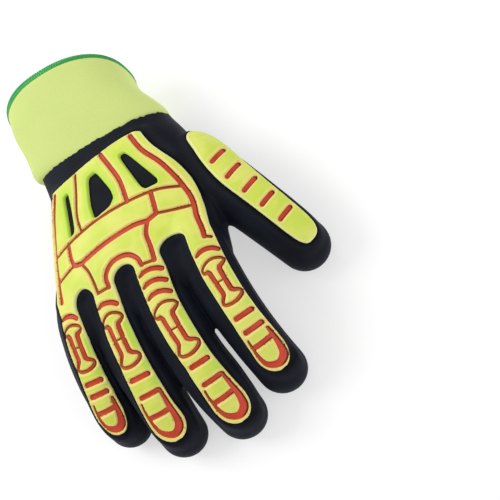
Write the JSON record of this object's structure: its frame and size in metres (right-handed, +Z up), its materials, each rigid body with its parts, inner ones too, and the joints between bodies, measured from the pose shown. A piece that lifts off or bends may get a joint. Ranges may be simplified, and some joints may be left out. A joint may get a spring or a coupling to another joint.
{
  "type": "impact glove",
  "caption": "Right-hand safety glove lying palm down: dark coated knit shell, knitted cuff with an overlocked hem, moulded rubber impact guards with coloured flex grooves.",
  "frame": {"origin": "middle of the glove's plan, on the surface it lies on", "axes": "+Z up from the surface through the back of the hand, -Y towards the fingertips, +X towards the thumb"},
  "size_m": [0.1772, 0.2514, 0.0587],
  "materials": {
    "coating": "matte sandy foam coating over knit",
    "knit": "fine matte rib knit",
    "thread": "overlocked thread",
    "rubber": "smooth moulded rubber, soft sheen",
    "groove": "smooth moulded rubber, soft sheen"
  },
  "bodies": {
    "root": {"glove_shell": "coating", "cuff": "knit", "cuff_hem": "thread", "back_guard": "rubber", "hand_groove_floor": "groove", "index_chevron_1": "groove", "index_joint_ring": "groove", "index_bar_1": "groove", "index_bar_2": "groove", "index_tip": "groove", "middle_chevron_1": "groove", "middle_chevron_2": "groove", "middle_chevron_3": "groove", "middle_joint_ring": "groove", "middle_bar_1": "groove", "middle_tip": "groove", "ring_chevron_1": "groove", "ring_joint_ring": "groove", "ring_bar_1": "groove", "ring_tip": "groove", "pinky_chevron_1": "groove", "pinky_joint_ring": "groove", "pinky_bar_1": "groove", "pinky_bar_2": "groove", "pinky_tip": "groove", "thumb_bar_1": "groove", "thumb_bar_2": "groove", "thumb_bar_3": "groove", "thumb_bar_4": "groove", "thumb_bar_5": "groove", "thumb_guard": "rubber"}
  },
  "joints": []
}
